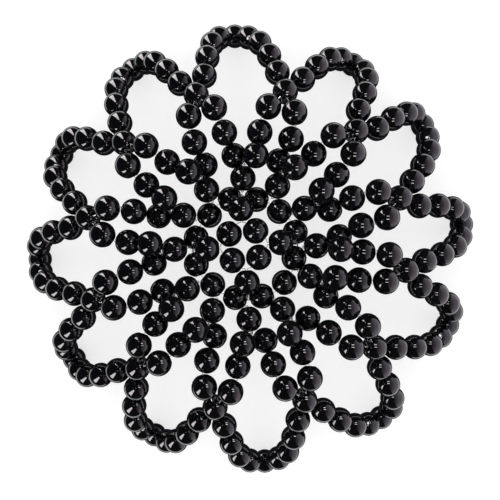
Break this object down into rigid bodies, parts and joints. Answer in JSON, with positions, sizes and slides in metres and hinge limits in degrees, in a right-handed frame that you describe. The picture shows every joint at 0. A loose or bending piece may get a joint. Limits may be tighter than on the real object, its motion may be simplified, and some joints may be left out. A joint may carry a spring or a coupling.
{
  "type": "beaded hairnet",
  "caption": "Round domed net of glossy black beads strung on fine clear thread, with long looped petals round an open throat and a small bead rosette at the centre.",
  "frame": {"origin": "on the net's axis, at the height where its crest lies on what it is worn over", "axes": "+Z out of the net's open face side, away from the wearer; +Y to the net's top in the view along -Z"},
  "size_m": [0.1175, 0.1181, 0.0319],
  "materials": {
    "bead": "polished jet black",
    "thread": "clear greyish monofilament"
  },
  "bodies": {
    "root": {"petal_01": "bead", "petal_02": "bead", "petal_03": "bead", "petal_04": "bead", "petal_05": "bead", "petal_06": "bead", "petal_07": "bead", "petal_08": "bead", "petal_09": "bead", "petal_10": "bead", "petal_11": "bead", "petal_12": "bead", "outer_crossings": "bead", "inner_crossings": "bead", "inner_ring": "bead", "centre_rosette": "bead", "thread": "thread"}
  },
  "joints": []
}
